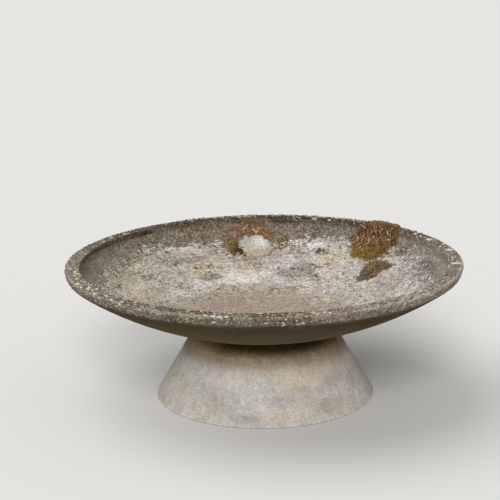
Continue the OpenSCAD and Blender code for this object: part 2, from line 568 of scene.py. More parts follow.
# Spots in the dish: azimuth in degrees; distance from the axis, half width and half length in mm; strength
GREY_SPOTS = [
    (70, 348, 44, 34, 0.85), (77, 326, 36, 22, 0.7), (119.6, 319, 32, 18, 0.9), (132, 426, 28, 16, 1.0),
    (122, 405, 66, 13, 0.9), (156, 422, 18, 14, 0.6), (73, 410, 22, 11, 0.7), (134, 434, 36, 9, 0.5),
    (110, 424, 36, 16, 0.8), (20, 462, 60, 20, 0.5), (2, 456, 60, 20, 0.6), (14, 478, 50, 16, 0.7),
    (18, 368, 60, 22, 0.35), (65.5, 426, 26, 12, 0.8), (84, 362, 26, 14, 0.4), (12, 332, 34, 22, 0.4),
    (156, 330, 24, 14, 0.5), (140, 362, 60, 28, 0.35), (97, 430, 24, 12, 0.4), (48, 392, 20, 12, 0.4)]
BARE_SPOTS = [(32, 488, 24, 18, 1.0), (66, 424, 20, 9, 0.6), (104, 452, 16, 30, 0.7), (12, 478, 70, 14, 0.5),
              (82, 458, 20, 22, 0.8)]
FLECK_SPOTS = [
    (145, 318, 110, 40, 1.0), (133, 300, 50, 22, 1.0), (66, 428, 52, 24, 0.8), (74, 455, 120, 24, 0.7),
    (62, 455, 50, 20, 0.8), (72, 300, 66, 22, 0.8), (12, 460, 130, 36, 0.7), (36, 345, 30, 30, 0.7)]
COOL_SPOTS = [(148, 306, 90, 24, 0.6), (121, 300, 60, 18, 0.9), (77, 300, 60, 14, 1.0),
              (70, 304, 40, 10, 0.9), (43, 267, 26, 14, 1.0), (45, 388, 44, 17, 1.0), (130, 466, 80, 18, 0.8),
              (115, 448, 60, 12, 0.7), (12, 450, 110, 50, 0.9), (28, 470, 40, 30, 0.7)]
CREAM_SPOTS = [(170, 386, 66, 44, 0.9), (179, 344, 60, 36, 0.8), (145, 446, 60, 16, 0.5),
               (59, 406, 60, 30, 0.8), (55, 320, 60, 40, 0.5), (120, 372, 100, 20, 0.5),
               (98, 350, 60, 30, 0.4)]
BRIGHT_SPOTS = [
    (104, 303, 96, 34, 1.0), (88, 310, 50, 22, 0.8), (137, 474, 28, 9, 0.8), (129, 463, 40, 8, 0.8),
    (121, 452, 40, 8, 0.7), (114, 447, 22, 8, 0.7), (67, 450, 70, 18, 0.7), (76, 456, 50, 14, 0.7),
    (126, 306, 44, 14, 0.6), (43, 267, 22, 12, 0.8), (131, 276, 44, 20, 0.7), (69, 274, 44, 14, 0.6),
    (56, 346, 40, 30, 0.6), (168, 388, 80, 22, 0.6), (151, 284, 50, 24, 0.5), (108, 458, 22, 12, 0.7),
    (28, 430, 30, 12, 0.5), (36, 472, 24, 10, 0.5), (133, 270, 30, 16, 0.4), (152, 432, 60, 22, 0.4)]
RUSTY_SPOTS = [(176, 500, 40, 14, 0.4), (95.5, 388, 34, 22, 0.6), (85, 415, 30, 16, 0.3)]
ORANGE_SPOTS = [(95, 502, 54, 20, 1.0), (103, 460, 20, 42, 0.8), (83, 455, 20, 30, 0.7),
                (96, 514, 40, 18, 0.9)]


def build_bowl(section):
    """The casting: its turned section, drawn a little out of round, waved, gritty, pitted and chipped."""
    points, normals, row, angle = section.turned()
    name = section.names[row]
    radius = np.hypot(points[:, 0], points[:, 1])
    height = points[:, 2]
    inside = np.isin(name, ("dish", "cove"))
    rim = np.isin(name, ("lip", "top", "outer"))
    under = np.isin(name, ("under", "drain"))
    swirl = np.column_stack([np.cos(angle), np.sin(angle), section.run[row]])
    drawn = swirl * [0.45, 0.45, 2.2]           # a field read at these places is drawn out round the axis

    # How much there is of each deposit and stain, from 0 to 1
    lime_gap = round_the_axis(LIME_EDGE, angle) * MM - radius
    lime_gap += 46 * MM * (rough_noise(drawn, 40 * MM, 3) - 0.5)
    silt_gap = round_the_axis(SILT_EDGE, angle) * MM - radius
    silt_gap += 90 * MM * (rough_noise(drawn, 50 * MM, 5) - 0.5)
    silt = np.where(inside, ease(-44 * MM, 60 * MM, silt_gap), 0)
    bright, cool, cream, fleck, rusty, bare_spot, grey = (
        np.where(inside, spots(points, radius, *marks), 0) for marks in (
            (BRIGHT_SPOTS, 15), (COOL_SPOTS, 11), (CREAM_SPOTS, 13), (FLECK_SPOTS, 45), (RUSTY_SPOTS, 47),
            (BARE_SPOTS, 9, CLEAR_EDGE), (GREY_SPOTS, 43, CLEAR_EDGE)))
    orange = np.where(under, 0, spots(points, radius, ORANGE_SPOTS, 49))
    left, right, back = towards(angle, 180, 42, 12), towards(angle, 10, 44, 16), towards(angle, 90, 80, 40)
    soft = 1 + 1.8 * left + 0.8 * right
    lime = np.where(inside, ease(-12 * MM * soft, 28 * MM * soft, lime_gap), 0)
    lime *= 1 - 0.45 * ease(0.42, 0.75, rough_noise(drawn, 55 * MM, 7)) * (1 - bright)
    lime *= 0.88 * (1 - bare_spot)
    lime = np.maximum(lime, 0.9 * silt)
    bright *= 1 - grey
    lime = np.maximum(lime, 0.95 * bright)
    hue = rough_noise(points, 26 * MM, 35)
    cool = np.maximum(cool, 0.35 * ease(0.54, 0.7, hue) * inside)
    cream = np.maximum(cream * (1 - cool), 0.35 * ease(0.46, 0.3, hue) * inside)

    # Relief, cut into the turned surface
    inner_edge = np.hypot(radius - (LIP_R + 2 * MM), height - (RIM_Z - 2 * MM))
    outer_edge = np.hypot(radius - (RIM_R - 3 * MM), height - (RIM_Z - 3 * MM))
    edge = ease(15 * MM, 4 * MM, np.minimum(inner_edge, outer_edge))
    grit = np.where(rim, 0.8, 0.5) * MM * rough_noise(points, 7 * MM, 21)
    waves = np.where(under, 0.5, 1.3) * MM * rough_noise(points, 150 * MM, 25)
    pitted = np.where(rim, 1.3, 0) * MM * pits(points, 13 * MM, 0.25, 4.5 * MM, 31)
    chipped = 3 * MM * edge * pits(points, 40 * MM, 0.4, 15 * MM, 41)
    crust = np.where(inside, 0.8 * MM * (1 - lime), 0)
    drawn_in = towards(angle, 145, 70, 0)
    shaped = points - (grit + waves + pitted + chipped + crust)[:, None] * normals
    shaped[:, :2] *= (1 - 3.5 * MM / RIM_R * drawn_in * (radius / RIM_R) ** 4)[:, None]

    # Tones, as shares of full brightness
    sides = np.abs(np.cos(angle))
    broad = rough_noise(drawn, 110 * MM, 17) - 0.5
    patchy = rough_noise(drawn, 26 * MM, 37) - 0.5
    patchy += (rough_noise(points, 22 * MM, 27) - 0.5 - patchy) * (1 - sides)
    upper = round_the_axis(UPPER_TONE, angle) + 0.12 * (rough_noise(points, 34 * MM, 19) - 0.5) - 0.03 * rusty
    upper += 0.1 * orange - 0.12 * bare_spot + 0.05 * left
    lime_tone = 0.68 + 0.2 * broad + 0.18 * patchy + 0.14 * bright + 0.02 * cool - 0.01 * cream
    lime_tone += (0.64 - lime_tone) * 0.35 * left * ease(380 * MM, 430 * MM, radius)
    lime_tone += (0.53 + 0.2 * patchy - lime_tone) * 0.85 * grey
    lime_tone += (0.59 + 0.12 * patchy - lime_tone) * silt
    ringed = np.maximum(orange, 0.7 * rusty) * ease(0.3, 0.55, rough_noise(points, 13 * MM, 39))
    lime_tone -= 0.16 * ringed
    band = np.where(name == "outer", ease(RIM_Z - 6 * MM, RIM_Z - 24 * MM, height), 0)
    lichen = rough_noise(drawn, 46 * MM, 23) - 0.5
    rim_tone = np.where(name == "outer", round_the_axis(BAND_TONE, angle), round_the_axis(RIM_TONE, angle))
    rim_tone = np.where(name == "lip", round_the_axis(LIP_TONE, angle), rim_tone)
    rim_tone += 0.2 * lichen - 0.02 * band + 0.2 * (rough_noise(points, 12 * MM, 75) - 0.5) + 0.06 * orange
    front = degrees_from(angle, -103)
    line = ease(4 * MM, 1 * MM, np.abs(radius - 530 * MM)) * towards(angle, -52, 34, 16)
    worn = np.maximum(line, 0.6 * ease(4 * MM, 1 * MM, outer_edge) * ease(9, 4, front))
    worn *= ease(0.45, 0.62, rough_noise(drawn, 14 * MM, 77))
    dirty_top = (name == "top") * (0.5 * ease(50, 22, front) + 0.5 * ease(10, 5, np.abs(front - 10)))
    rim_tone += 0.14 * worn - 0.12 * dirty_top
    below = 0.52 + 0.23 * ease(400 * MM, 230 * MM, radius) - 0.09 * ease(440 * MM, 520 * MM, radius)
    below += 0.14 * (rough_noise(points, 90 * MM, 33) - 0.5)
    ground = np.where(inside, upper, np.where(rim, rim_tone, below))

    # Contrast of the specks, streaks and pores, lower on the silt and on the first two cream spots
    calm = 1 - np.maximum(0.3 * silt, 0.5 * spots(points, radius, CREAM_SPOTS[:2], 13))
    dish_speckle = (0.5 + 0.3 * back * (1 - lime) + 0.2 * right + 0.15 * lime) * calm
    speckle = np.where(rim, 0.55, np.where(under, 0.12, dish_speckle))
    streak = np.where(inside, (0.2 + 0.4 * lime) * (0.3 + 0.7 * sides) * (1 - 0.6 * right) * calm, 0.12)
    pore = np.where(rim, 0.14, np.where(under, 0.03, 0.06 + 0.28 * fleck)) * (1 - 0.7 * silt)

    mossy = rim * towards(angle, -150, 80, 35)
    green_side = inside * towards(angle, 150, 62, 22) * (1 - silt)
    tint = stained("#ffffff", len(points), (
        (green_side, "#fdfcf3"), (0.7 * cool, "#e6effa"), (0.7 * cream, "#fff2d6"), (0.6 * grey, "#efeaee"),
        (0.6 * silt, "#ffefe0"), (0.5 * rusty * (1 - lime), "#f6dccb"), (0.8 * ringed, "#f0c190"),
        (0.35 * mossy, "#eeeccb"), (0.6 * (rim & (mossy < 0.5)), "#fff4ec"),
        (0.3 * ease(0.02, 0.14, lichen) * rim, "#f6f2d8"), (1.0 * under, "#f2e8c6")))
    piece = make_piece("bowl_body", shaped, turned_faces(section.turns),
                       fibre_cement("weathered_fibre_cement", 4.5, 1.2 * MM), "bowl", {
        "level": np.column_stack([ground, lime_tone, lime]),
        "detail": np.column_stack([speckle, streak, pore]),
        "tint": tint,
        "swirl": swirl,
    })
    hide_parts("bowl")


# --- The base -------------------------------------------------------------------------------------

# Clouds on its side: azimuth in degrees, height, half width and half height in mm, strength
OCHRE_CLOUDS = [(-122, 176, 34, 16, 0.9), (-131, 30, 16, 10, 1.0), (-146, 40, 20, 16, 0.7),
                (-110, 150, 60, 16, 0.5), (-68, 105, 60, 14, 0.7), (-60, 130, 50, 16, 0.5)]
BLUE_CLOUDS = [(-124, 70, 40, 22, 0.9), (-112, 56, 44, 26, 0.8), (-90, 102, 26, 24, 0.9),
               (-84, 62, 60, 14, 0.7), (-28, 70, 26, 22, 0.3), (-104, 22, 44, 12, 0.9)]
CREAM_CLOUDS = [(-112, 116, 44, 18, 0.9), (-76, 124, 60, 16, 0.8), (-82, 26, 80, 16, 0.9),
                (-156, 60, 30, 30, 0.7), (-64, 30, 50, 14, 0.6), (-96, 66, 18, 14, 0.6),
                (-42, 112, 60, 56, 0.8)]
BROWN_CLOUDS = [(-66, 176, 80, 20, 1.0), (-90, 192, 130, 10, 0.8), (-122, 172, 30, 16, 0.8),
                (-120, 64, 6, 6, 0.5), (-114, 50, 8, 5, 0.5), (-99, 26, 20, 3, 0.5), (-70, 86, 60, 8, 0.3),
                (-44, 96, 40, 20, 0.3), (-52, 34, 50, 18, 0.45)]


def build_base(section):
    """The stand: its turned section, faintly waved and grained, with small chips along the foot."""
    points, normals, row, angle = section.turned()
    name = section.names[row]
    height = points[:, 2]
    waves = 1.0 * MM * rough_noise(points, 120 * MM, 61)
    grain = 0.35 * MM * rough_noise(points, 9 * MM, 65)
    foot = ease(9 * MM, 2 * MM, height)
    chipped = 1.6 * MM * foot * pits(points, 24 * MM, 0.5, 8 * MM, 71) * (name != "foot")
    shaped = points - ((waves + grain) * (name != "foot") + chipped)[:, None] * normals
    ochre, blue, cream, brown = (spots(points, height, places, seed) for places, seed in (
        (OCHRE_CLOUDS, 51), (BLUE_CLOUDS, 53), (CREAM_CLOUDS, 59), (BROWN_CLOUDS, 55)))
    neck = ease(108 * MM, 185 * MM, height)
    middle = towards(angle, -78, 80, 25)
    right = towards(angle, -20, 34, 12)
    # Painted shade cast by the bowl on the top of the base, strongest in front, with some brown dirt in it
    painted_shade_and_grime = ease(158 * MM, 190 * MM, height) * (0.35 + 0.65 * middle)
    brushed = rough_noise(points * [1, 1, 0.3], 12 * MM, 67) - 0.5
    mottled = rough_noise(points, 24 * MM, 69) - 0.5
    hue = rough_noise(points * [1, 1, 0.5], 30 * MM, 73)
    ground = 0.79 + 0.1 * (rough_noise(points, 70 * MM, 57) - 0.5) + 0.12 * brushed + 0.08 * mottled
    ground += 0.04 * foot + 0.02 * cream - 0.03 * blue - 0.07 * brown - 0.45 * painted_shade_and_grime
    ground += 0.06 * ease(78 * MM, 108 * MM, height) * ease(144 * MM, 122 * MM, height)
    ground += right * (0.02 - 0.07 * neck)
    # Darker near the ground, and darker high up under the bowl, where it is painted shade with some dirt
    ground -= 0.02 * ease(50 * MM, 20 * MM, height) + 0.08 * ease(130 * MM, 156 * MM, height)
    cream = np.maximum(cream, 0.5 * ease(0.5, 0.64, hue))
    blue = np.maximum(blue, 0.4 * ease(0.46, 0.34, hue))
    tint = stained("#fffffd", len(points), (
        (0.5 * blue, "#e4ebf8"), (0.4 * cream, "#fff2da"), (0.4 * ochre, "#ffdfa8"), (0.6 * brown, "#f0d9bc"),
        (0.9 * neck, "#f2dcba"), (0.8 * painted_shade_and_grime, "#f0dcb8")))
    piece = make_piece("base_body", shaped, turned_faces(section.turns),
                       fibre_cement("sheltered_fibre_cement", 3.5, 0.3 * MM), "base", {
        "level": np.column_stack([ground, ground, 0 * ground]),
        "detail": np.column_stack([0.28 + 0 * ground, 0.1 + 0 * ground, 0.06 + 0 * ground]),
        "tint": tint,
        "swirl": np.column_stack([np.cos(angle), np.sin(angle), section.run[row]]),
    })
    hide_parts("base")


# --- Moss, lichen and lime flakes on the bowl -------------------------------------------------------

# Outlines: azimuth in degrees, distance from the axis in mm; past the lip the distance runs on over the rim
CLUMP_OUTLINE = [(53.4, 508), (53, 530), (52, 553), (49.5, 560), (46, 561), (43, 557), (40.2, 545),
                 (38.4, 514), (38.2, 484), (39.4, 464), (39, 446), (40, 434), (43, 424), (47.8, 426),
                 (51.6, 430), (53, 450), (54.4, 468), (56.4, 485), (55.4, 498)]
PATCH_OUTLINE = [(38.2, 352), (40, 366), (40, 384), (40.2, 402), (39.4, 415), (36.5, 422), (33, 424),
                 (28.2, 429), (30, 417), (31.4, 404), (31, 381), (30.2, 363), (32.4, 353), (35, 346)]
RING_OUTLINE = [(105.6, 422), (105.9, 444), (104.4, 466), (103, 482), (101, 494), (98.6, 507), (95, 513),
                (91, 508), (87.6, 497), (85.8, 474), (84.4, 450), (84.6, 436), (86.2, 432), (88.4, 452),
                (90, 466), (96, 466), (98, 446), (97.8, 414), (98.8, 400), (101.4, 399), (103.8, 409)]
CRUST_OUTLINE = [(99.2, 452), (98.7, 468), (97.3, 477), (95.3, 480), (92.4, 477), (90, 476), (88.2, 466),
                 (87, 440), (87.4, 416), (88.6, 404), (91, 400), (94.3, 401), (97, 412), (98.6, 432)]
CHART_R = 460 * MM         # radius at which azimuths are turned into lengths round the axis


class Growth:
    """A patch on the bowl: where its outline lies, and how high it stands at an angle and a run."""

    def __init__(self, section, outline, thick, ragged, lump, seed, hole=None, sparse=0):
        self.section, self.thick, self.ragged, self.lump, self.seed = section, thick, ragged, lump, seed
        self.sparse = sparse
        self.outline, self.hole = self.chart(outline), None if hole is None else self.chart(hole)

    def chart(self, outline):
        """Outline as (length round the axis, distance along the section), in metres."""
        azimuth, distance = np.array(outline, float).T
        return np.column_stack([np.radians(azimuth) * CHART_R, self.section.run_at(distance * MM)])

    def depth(self, angle, run, point):
        """Distance in from the ragged outline, positive inside."""
        at = np.stack([angle * CHART_R, run], -1)
        deep = distance_inside(at, self.outline)
        if self.hole is not None:
            deep = np.minimum(deep, -distance_inside(at, self.hole))
        deep = np.minimum(deep, 20 * MM)
        return deep + self.ragged * (rough_noise(point, 11 * MM, self.seed, 2) - 0.5) - self.sparse

    def surface(self, angle, run):
        """Point of the casting, its normal, the depth inside the outline, and the growth's height there.

        The height is thickness * root of the eased depth * a lumpy noise, less 1.2 mm. Outside the outline it
        is 2 mm below the surface.
        """
        point, normal = self.section.place(angle, run)
        deep = self.depth(angle, run, point)
        lumps = 0.6 + 0.5 * rough_noise(point, self.lump, self.seed + 3)
        lumps += 0.3 * rough_noise(point, 5 * MM, self.seed + 6)
        high = self.thick * np.sqrt(ease(0, 16 * MM, deep)) * lumps - 1.2 * MM
        return point, normal, deep, np.where(deep > 0, high, -2 * MM)

    def box(self):
        """Lowest and highest angle and run, a little past the outline."""
        low, high = self.outline.min(0) - 12 * MM, self.outline.max(0) + 12 * MM
        return (low[0] / CHART_R, low[1]), (high[0] / CHART_R, high[1])

    def cushion(self, cell):
        """Closed mesh of the growth's body, over the cells of a grid that lie inside the ragged outline."""
        first, last = self.box()
        run = np.arange(first[1], last[1], cell)
        angle = np.arange(first[0], last[0], cell / CHART_R)
        angle, run = np.meshgrid(angle, run)
        point, normal, deep, high = self.surface(angle, run)
        risen = deep > -1.5 * cell
        keep = risen[:-1, :-1] | risen[1:, :-1] | risen[1:, 1:] | risen[:-1, 1:]
        return patch_shell(point, normal, high, keep)

    def roots(self, count, random):
        """Angle and run of random places on the growth: the first in its box that the outline holds."""
        first, last = self.box()
        angle = random.uniform(first[0], last[0], 6 * count)
        run = random.uniform(first[1], last[1], 6 * count)
        point, _ = self.section.place(angle, run)
        held = np.flatnonzero(self.depth(angle, run, point) > 0)[:count]
        return angle[held], run[held]


def distance_inside(points, outline):
    """Distance from each point to a closed outline's nearest side, positive inside by the crossing rule."""
    flat = points.reshape(-1, 2)
    start, end = outline, np.roll(outline, -1, 0)
    side = end - start
    to = flat[:, None] - start
    along = np.clip((to * side).sum(-1) / (side**2).sum(-1), 0, 1)
    gap = np.linalg.norm(to - along[..., None] * side, axis=-1).min(1)
    spans = (start[:, 1] > flat[:, None, 1]) != (end[:, 1] > flat[:, None, 1])
    crossing = start[:, 0] + to[..., 1] * side[:, 0] / np.where(side[:, 1] == 0, 1, side[:, 1])
    inside = (spans & (flat[:, None, 0] < crossing)).sum(1) % 2 == 1
    return np.where(inside, gap, -gap).reshape(points.shape[:-1])


def unit(v):
    """Vectors scaled to length 1."""
    return v / np.linalg.norm(v, axis=-1, keepdims=True)


STRAND_RINGS = 5
STRAND_SIDES = 3


def strand_mesh(root, direction, bend, width):
    """Closed tapered strands: root + direction * t + bend * t^2, with rings that shrink towards the tip."""
    t = np.linspace(0, 1, STRAND_RINGS)[None, :, None]
    centre = root[:, None] + direction[:, None] * t + bend[:, None] * t**2
    ahead = unit(direction[:, None] + 2 * bend[:, None] * t)
    across = unit(np.cross(ahead, [0.31, 0.47, 0.83]))
    beside = np.cross(ahead, across)
    a = np.arange(STRAND_SIDES) * 2 * math.pi / STRAND_SIDES
    reach = (width[:, None, None, None] / 2) * (1 - 0.75 * t[..., None])
    ring = across[:, :, None] * np.cos(a)[:, None] + beside[:, :, None] * np.sin(a)[:, None]
    points = (centre[:, :, None] + reach * ring).reshape(-1, 3)
    i, j = np.meshgrid(np.arange(STRAND_RINGS - 1), np.arange(STRAND_SIDES), indexing="ij")
    here, beyond = i * STRAND_SIDES + j, i * STRAND_SIDES + (j + 1) % STRAND_SIDES
    sides = np.stack([here, beyond, beyond + STRAND_SIDES, here + STRAND_SIDES], -1).reshape(-1, 4)
    last = (STRAND_RINGS - 1) * STRAND_SIDES
    caps = np.array([[2, 1, 0], [last, last + 1, last + 2]])
    first = np.arange(len(root))[:, None, None] * STRAND_RINGS * STRAND_SIDES
    faces = (sides + first).reshape(-1, 4).tolist() + (caps + first).reshape(-1, 3).tolist()
    return points, faces


def lie_of(growth, angle, run):
    """How a growth lies at places on it: its top, the casting's normal, the depth inside the outline, unit
    vectors round the axis and along the section, and the way out of the outline."""
    point, normal, deep, high = growth.surface(angle, run)
    step = 3 * MM
    aside = growth.section.place(angle + step / CHART_R, run)[0] - point
    ahead = growth.section.place(angle, run + step)[0] - point
    rise_aside = growth.surface(angle + step / CHART_R, run)[2] - deep
    rise_ahead = growth.surface(angle, run + step)[2] - deep
    out = -(unit(aside) * rise_aside[:, None] + unit(ahead) * rise_ahead[:, None]) / step
    return point + high[:, None] * normal, normal, deep, unit(aside), unit(ahead), out


MOSS_CELL = 2.6 * MM       # of the grid that a moss cushion is drawn on
CRUST_CELL = 2.2 * MM
STRAW_BAND = np.array([463, 513]) * MM      # distances from the axis between which the straws lie
TIP_DEPTH = 4 * MM         # the deepest that the tip of a strand reaches below the surface


def moss(name, growth, strands, length, straws, ground, stains, fade, seed):
    """A moss cushion with its strands: short ones stand out of it, and those at its edge lie outwards.

    Over them lie a few straws: long, pale, dry strands that run up and down the dish. Each tip is held to the
    plane of the surface at its root and, where it is rooted inside the rim, to the sphere of the hollow too.
    """
    random = np.random.default_rng(seed)
    points, faces = growth.cushion(MOSS_CELL)
    angle, run = growth.roots(strands, random)
    top, normal, deep, aside, ahead, out = lie_of(growth, angle, run)
    on_rim = ease(growth.section.run_at(LIP_R - 10 * MM), growth.section.run_at(LIP_R + 6 * MM), run)
    first, last = growth.section.run_at(STRAW_BAND)
    middle = (deep > 0.4 * deep.max()) & (first < run) & (run < last)
    straw = middle & (np.cumsum(middle) <= straws)
    fringe = ease(16 * MM, 3 * MM, deep)[:, None]
    spiky = ease(0.44, 0.58, rough_noise(top, 16 * MM, seed + 9)[:, None]) * fringe
    stray = random.normal(0, 1, (len(angle), 3))
    way = normal * (0.5 - 0.4 * fringe) + out * (0.2 + 1.3 * fringe) - 0.4 * ahead
    way += (0.45 - 0.25 * spiky) * stray
    along = np.sign(stray[:, :1]) * ahead + 0.5 * stray[:, 1:2] * aside + 0.12 * normal
    way = unit(np.where(straw[:, None], along, way))
    long = random.uniform(*length, len(angle)) * (1 - 0.6 * on_rim) * (1 + 1.6 * spiky[:, 0] * (1 - on_rim))
    long = np.where(straw, length[0] * random.uniform(1.5, 3.2, len(angle)), long)[:, None] * MM
    sag = 0.3 * np.roll(stray, 1, 1) - 0.2 * normal
    bend = long * np.where(straw[:, None], 0.6 * stray[:, 2:] * aside - 0.15 * normal, sag)
    tip_height = ((way * long + bend) * normal).sum(-1, keepdims=True)
    bend += np.maximum(-TIP_DEPTH - tip_height, 0) * normal
    root = top + np.where(straw, 3, -1)[:, None] * MM * normal
    to_centre = [0, 0, DISH_Z] - (root + way * long + bend)
    sunk = np.linalg.norm(to_centre, axis=-1) - HOLLOW_R - TIP_DEPTH
    sunk = np.maximum(sunk, 0) * (run < growth.section.run_at(LIP_R + 1 * MM))
    bend += sunk[:, None] * unit(to_centre)
    width = np.where(straw, random.uniform(2.8, 4.4, len(angle)), random.uniform(1.2, 2.5, len(angle))) * MM
    hairs, hair_faces = strand_mesh(root, way * long, bend, width)
    hair_faces = [[k + len(points) for k in face] for face in hair_faces]
    per_strand = STRAND_RINGS * STRAND_SIDES
    every = np.vstack([points, np.repeat(root, per_strand, 0)])
    radius = np.hypot(every[:, 0], every[:, 1])
    places = [(0.75 * ease(0.46, 0.6, rough_noise(every, 8 * MM, seed + 7, 2)), fade)]
    places += [(spots(every, radius, [place], seed + i), code) for i, (place, code) in enumerate(stains)]
    places.append((np.concatenate([0 * points[:, 0], np.repeat(straw, per_strand)]), "#ecd2b4"))
    tint = stained(ground, len(every), places)
    tone = np.where(straw, random.uniform(0.7, 1.3, len(angle)), random.uniform(0.15, 1.6, len(angle)))
    tone = np.repeat(tone, per_strand)
    # Painted shade and light: the cushion under the strands is darkened to 0.4 as the shade between them, and
    # each strand darkens towards its root and lightens towards its tip
    tip = np.tile(np.repeat(np.linspace(0.8, 1.25, STRAND_RINGS), STRAND_SIDES), len(angle))
    tint[:, :3] *= np.concatenate([0.4 + 0 * points[:, 0], tone * tip])[:, None]
    make_piece(name, np.vstack([points, hairs]), faces.tolist() + hair_faces,
               living_matter("dry_" + name, 3, 1 * MM, "#a8a8a8"), "bowl", {"tint": np.clip(tint, 0, 1)})


def build_growths(section):
    """Moss on the rim and in the dish, and the white lichen crust that one ring of moss surrounds."""
    clump = Growth(section, CLUMP_OUTLINE, 8 * MM, 34 * MM, 18 * MM, 101)
    moss("moss_clump", clump, 2700, (8, 17), 56, "#c5946c", (
        ((48, 552, 150, 30, 1.0), "#d8ae70"), ((46, 430, 120, 30, 1.0), "#c8a75e"),
        ((56, 462, 30, 40, 0.8), "#b0905a"), ((38, 470, 30, 60, 0.7), "#b4955e"),
        ((47, 502, 70, 10, 0.3), "#94664a")), "#7c5339", 111)
    patch = Growth(section, PATCH_OUTLINE, 6 * MM, 30 * MM, 12 * MM, 201)
    moss("moss_patch", patch, 1300, (5, 10), 0, "#bfa37c", (
        ((38, 352, 30, 26, 0.8), "#a2907a"), ((34, 410, 40, 16, 0.6), "#a99872")), "#6f6149", 211)
    ring = Growth(section, RING_OUTLINE, 4 * MM, 60 * MM, 12 * MM, 301, hole=CRUST_OUTLINE, sparse=3 * MM)
    moss("moss_ring", ring, 1300, (3, 8), 50, "#d6ab80", (
        ((105, 448, 22, 34, 1.0), "#b3a068"), ((84, 448, 26, 34, 1.0), "#dccb9c"),
        ((99.8, 416, 20, 22, 1.0), "#855b36"), ((95, 502, 60, 12, 0.5), "#cf9c6c"),
        ((89.4, 488, 14, 12, 0.8), "#e0a06c")), "#a58e72", 311)
    crust = Growth(section, CRUST_OUTLINE, 3 * MM, 34 * MM, 9 * MM, 401)
    points, faces = crust.cushion(CRUST_CELL)
    radius = np.hypot(points[:, 0], points[:, 1])
    stains = (((92, 407, 60, 14, 0.7), "#c9b8a2"), ((95.4, 430, 26, 16, 0.6), "#dccdb8"),
              ((96.6, 464, 20, 16, 0.7), "#c6c4ba"), ((91.2, 450, 28, 20, 1.0), "#f2eee6"),
              ((87.4, 438, 12, 26, 0.7), "#bdb6a8"))
    tint = stained("#d3cbbd", len(points), [
        (spots(points, radius, [place], 411 + i), code) for i, (place, code) in enumerate(stains)])
    make_piece("lichen_crust", points, faces.tolist(), living_matter("crustose_lichen", 4, 1 * MM, "#a0a0a0"),
               "bowl", {"tint": tint})


FLAKE_SIDES = 8
FLAKE_POINTS = 2 * FLAKE_SIDES + 2
# Larger flakes that catch the eye: azimuth in degrees, distance from the axis, length and width in mm, and
# the turn in degrees from the direction round the axis. Past the lip the distance runs on over the rim.
BIG_FLAKES = [(23, 524, 28, 16, 80), (8.4, 534, 32, 20, 85), (-7.6, 532, 34, 20, 70), (31, 524, 16, 9, 0),
              (27.6, 522, 16, 10, 0), (-1, 526, 16, 8, 60), (16, 541, 16, 12, 80),
              (-168, 526, 16, 12, 0), (-165.5, 519, 22, 7, 90), (-155, 542, 26, 11, 20),
              (-150, 528, 20, 12, 0), (-147, 520, 16, 9, 30), (-152, 512, 14, 8, 0), (-143, 546, 18, 9, 0),
              (-135, 549, 16, 7, 0), (-172, 536, 12, 8, 0), (-160, 533, 12, 8, 40), (-139, 535, 16, 7, 0),
              (-105.2, 547, 17, 8, 15), (-103.3, 550, 17, 8, 0), (-101.4, 551, 19, 9, 0),
              (-99.5, 549, 16, 8, -10), (-148.4, 538, 20, 10, 0),
              (-151.4, 546, 18, 8, 0), (-131.5, 542, 14, 7, 0),
              (-91, 521, 22, 4, 0), (-102.7, 567, 16, 6, 10), (-89.5, 567, 10, 5, 0), (-84.4, 558, 7, 6, 0),
              (-85.1, 567, 9, 5, 0), (-76, 546, 12, 5, 40), (-74, 540, 14, 5, 60), (-72.6, 548, 10, 5, 0),
              (-42.7, 515, 28, 8, 0), (-40.2, 526, 22, 8, 0), (-45, 520, 14, 6, 0), (-19.5, 512, 20, 7, 0),
              (-11, 514, 20, 7, 0), (-3, 511, 14, 6, 0), (-30, 513, 16, 6, 0),
              (72, 511, 20, 6, 0), (66.5, 511, 16, 6, 0), (65, 536, 14, 9, 0), (61, 545, 18, 9, 0),
              (70, 543, 12, 8, 0), (80, 548, 12, 9, 0), (84, 547, 14, 9, 0), (88, 549, 10, 9, 0),
              (97, 547, 12, 9, 0), (108, 545, 14, 9, 0), (118, 543, 12, 9, 0), (128, 544, 14, 9, 0)]


def domes(section, azimuth, run, long, wide, high, turn, random):
    """Low domes of eight uneven sides on the bowl, each closed by a point below it; their sizes are in mm.

    A corner lies at (length * cos, width * sin) of its own angle, times an uneven share, turned from the
    direction round the axis and laid on the surface.
    """
    a = np.arange(FLAKE_SIDES) * 2 * math.pi / FLAKE_SIDES
    uneven = random.uniform(0.65, 1.25, (len(long), FLAKE_SIDES)) * MM / 2
    along, across = long[:, None] * uneven * np.cos(a), wide[:, None] * uneven * np.sin(a)
    x = along * np.cos(turn)[:, None] - across * np.sin(turn)[:, None]
    y = along * np.sin(turn)[:, None] + across * np.cos(turn)[:, None]
    radius = np.hypot(*section.place(azimuth, run)[0].T[:2])[:, None]
    rings = []
    for shrink, lift in ((1, -1.4 + 0 * high), (0.7, 0.6 * high - 0.1), (0, high)):
        at, normal = section.place(azimuth[:, None] + shrink * x / radius, run[:, None] + shrink * y)
        rings.append(at + (lift * MM)[:, None, None] * normal)
    middle, under = rings[2][:, :1], rings[2][:, :1] - 2 * MM * normal[:, :1]
    points = np.concatenate([rings[0], rings[1], middle, under], 1).reshape(-1, 3)
    i = np.arange(FLAKE_SIDES)
    j = (i + 1) % FLAKE_SIDES
    top, below = np.full(FLAKE_SIDES, 2 * FLAKE_SIDES), np.full(FLAKE_SIDES, 2 * FLAKE_SIDES + 1)
    faces = []
    for corners in (
            (i, i + FLAKE_SIDES, j + FLAKE_SIDES, j), (i + FLAKE_SIDES, top, j + FLAKE_SIDES), (i, j, below)):
        block = np.column_stack(corners) + np.arange(len(long))[:, None, None] * FLAKE_POINTS
        faces += block.reshape(-1, len(corners)).tolist()
    return points, faces


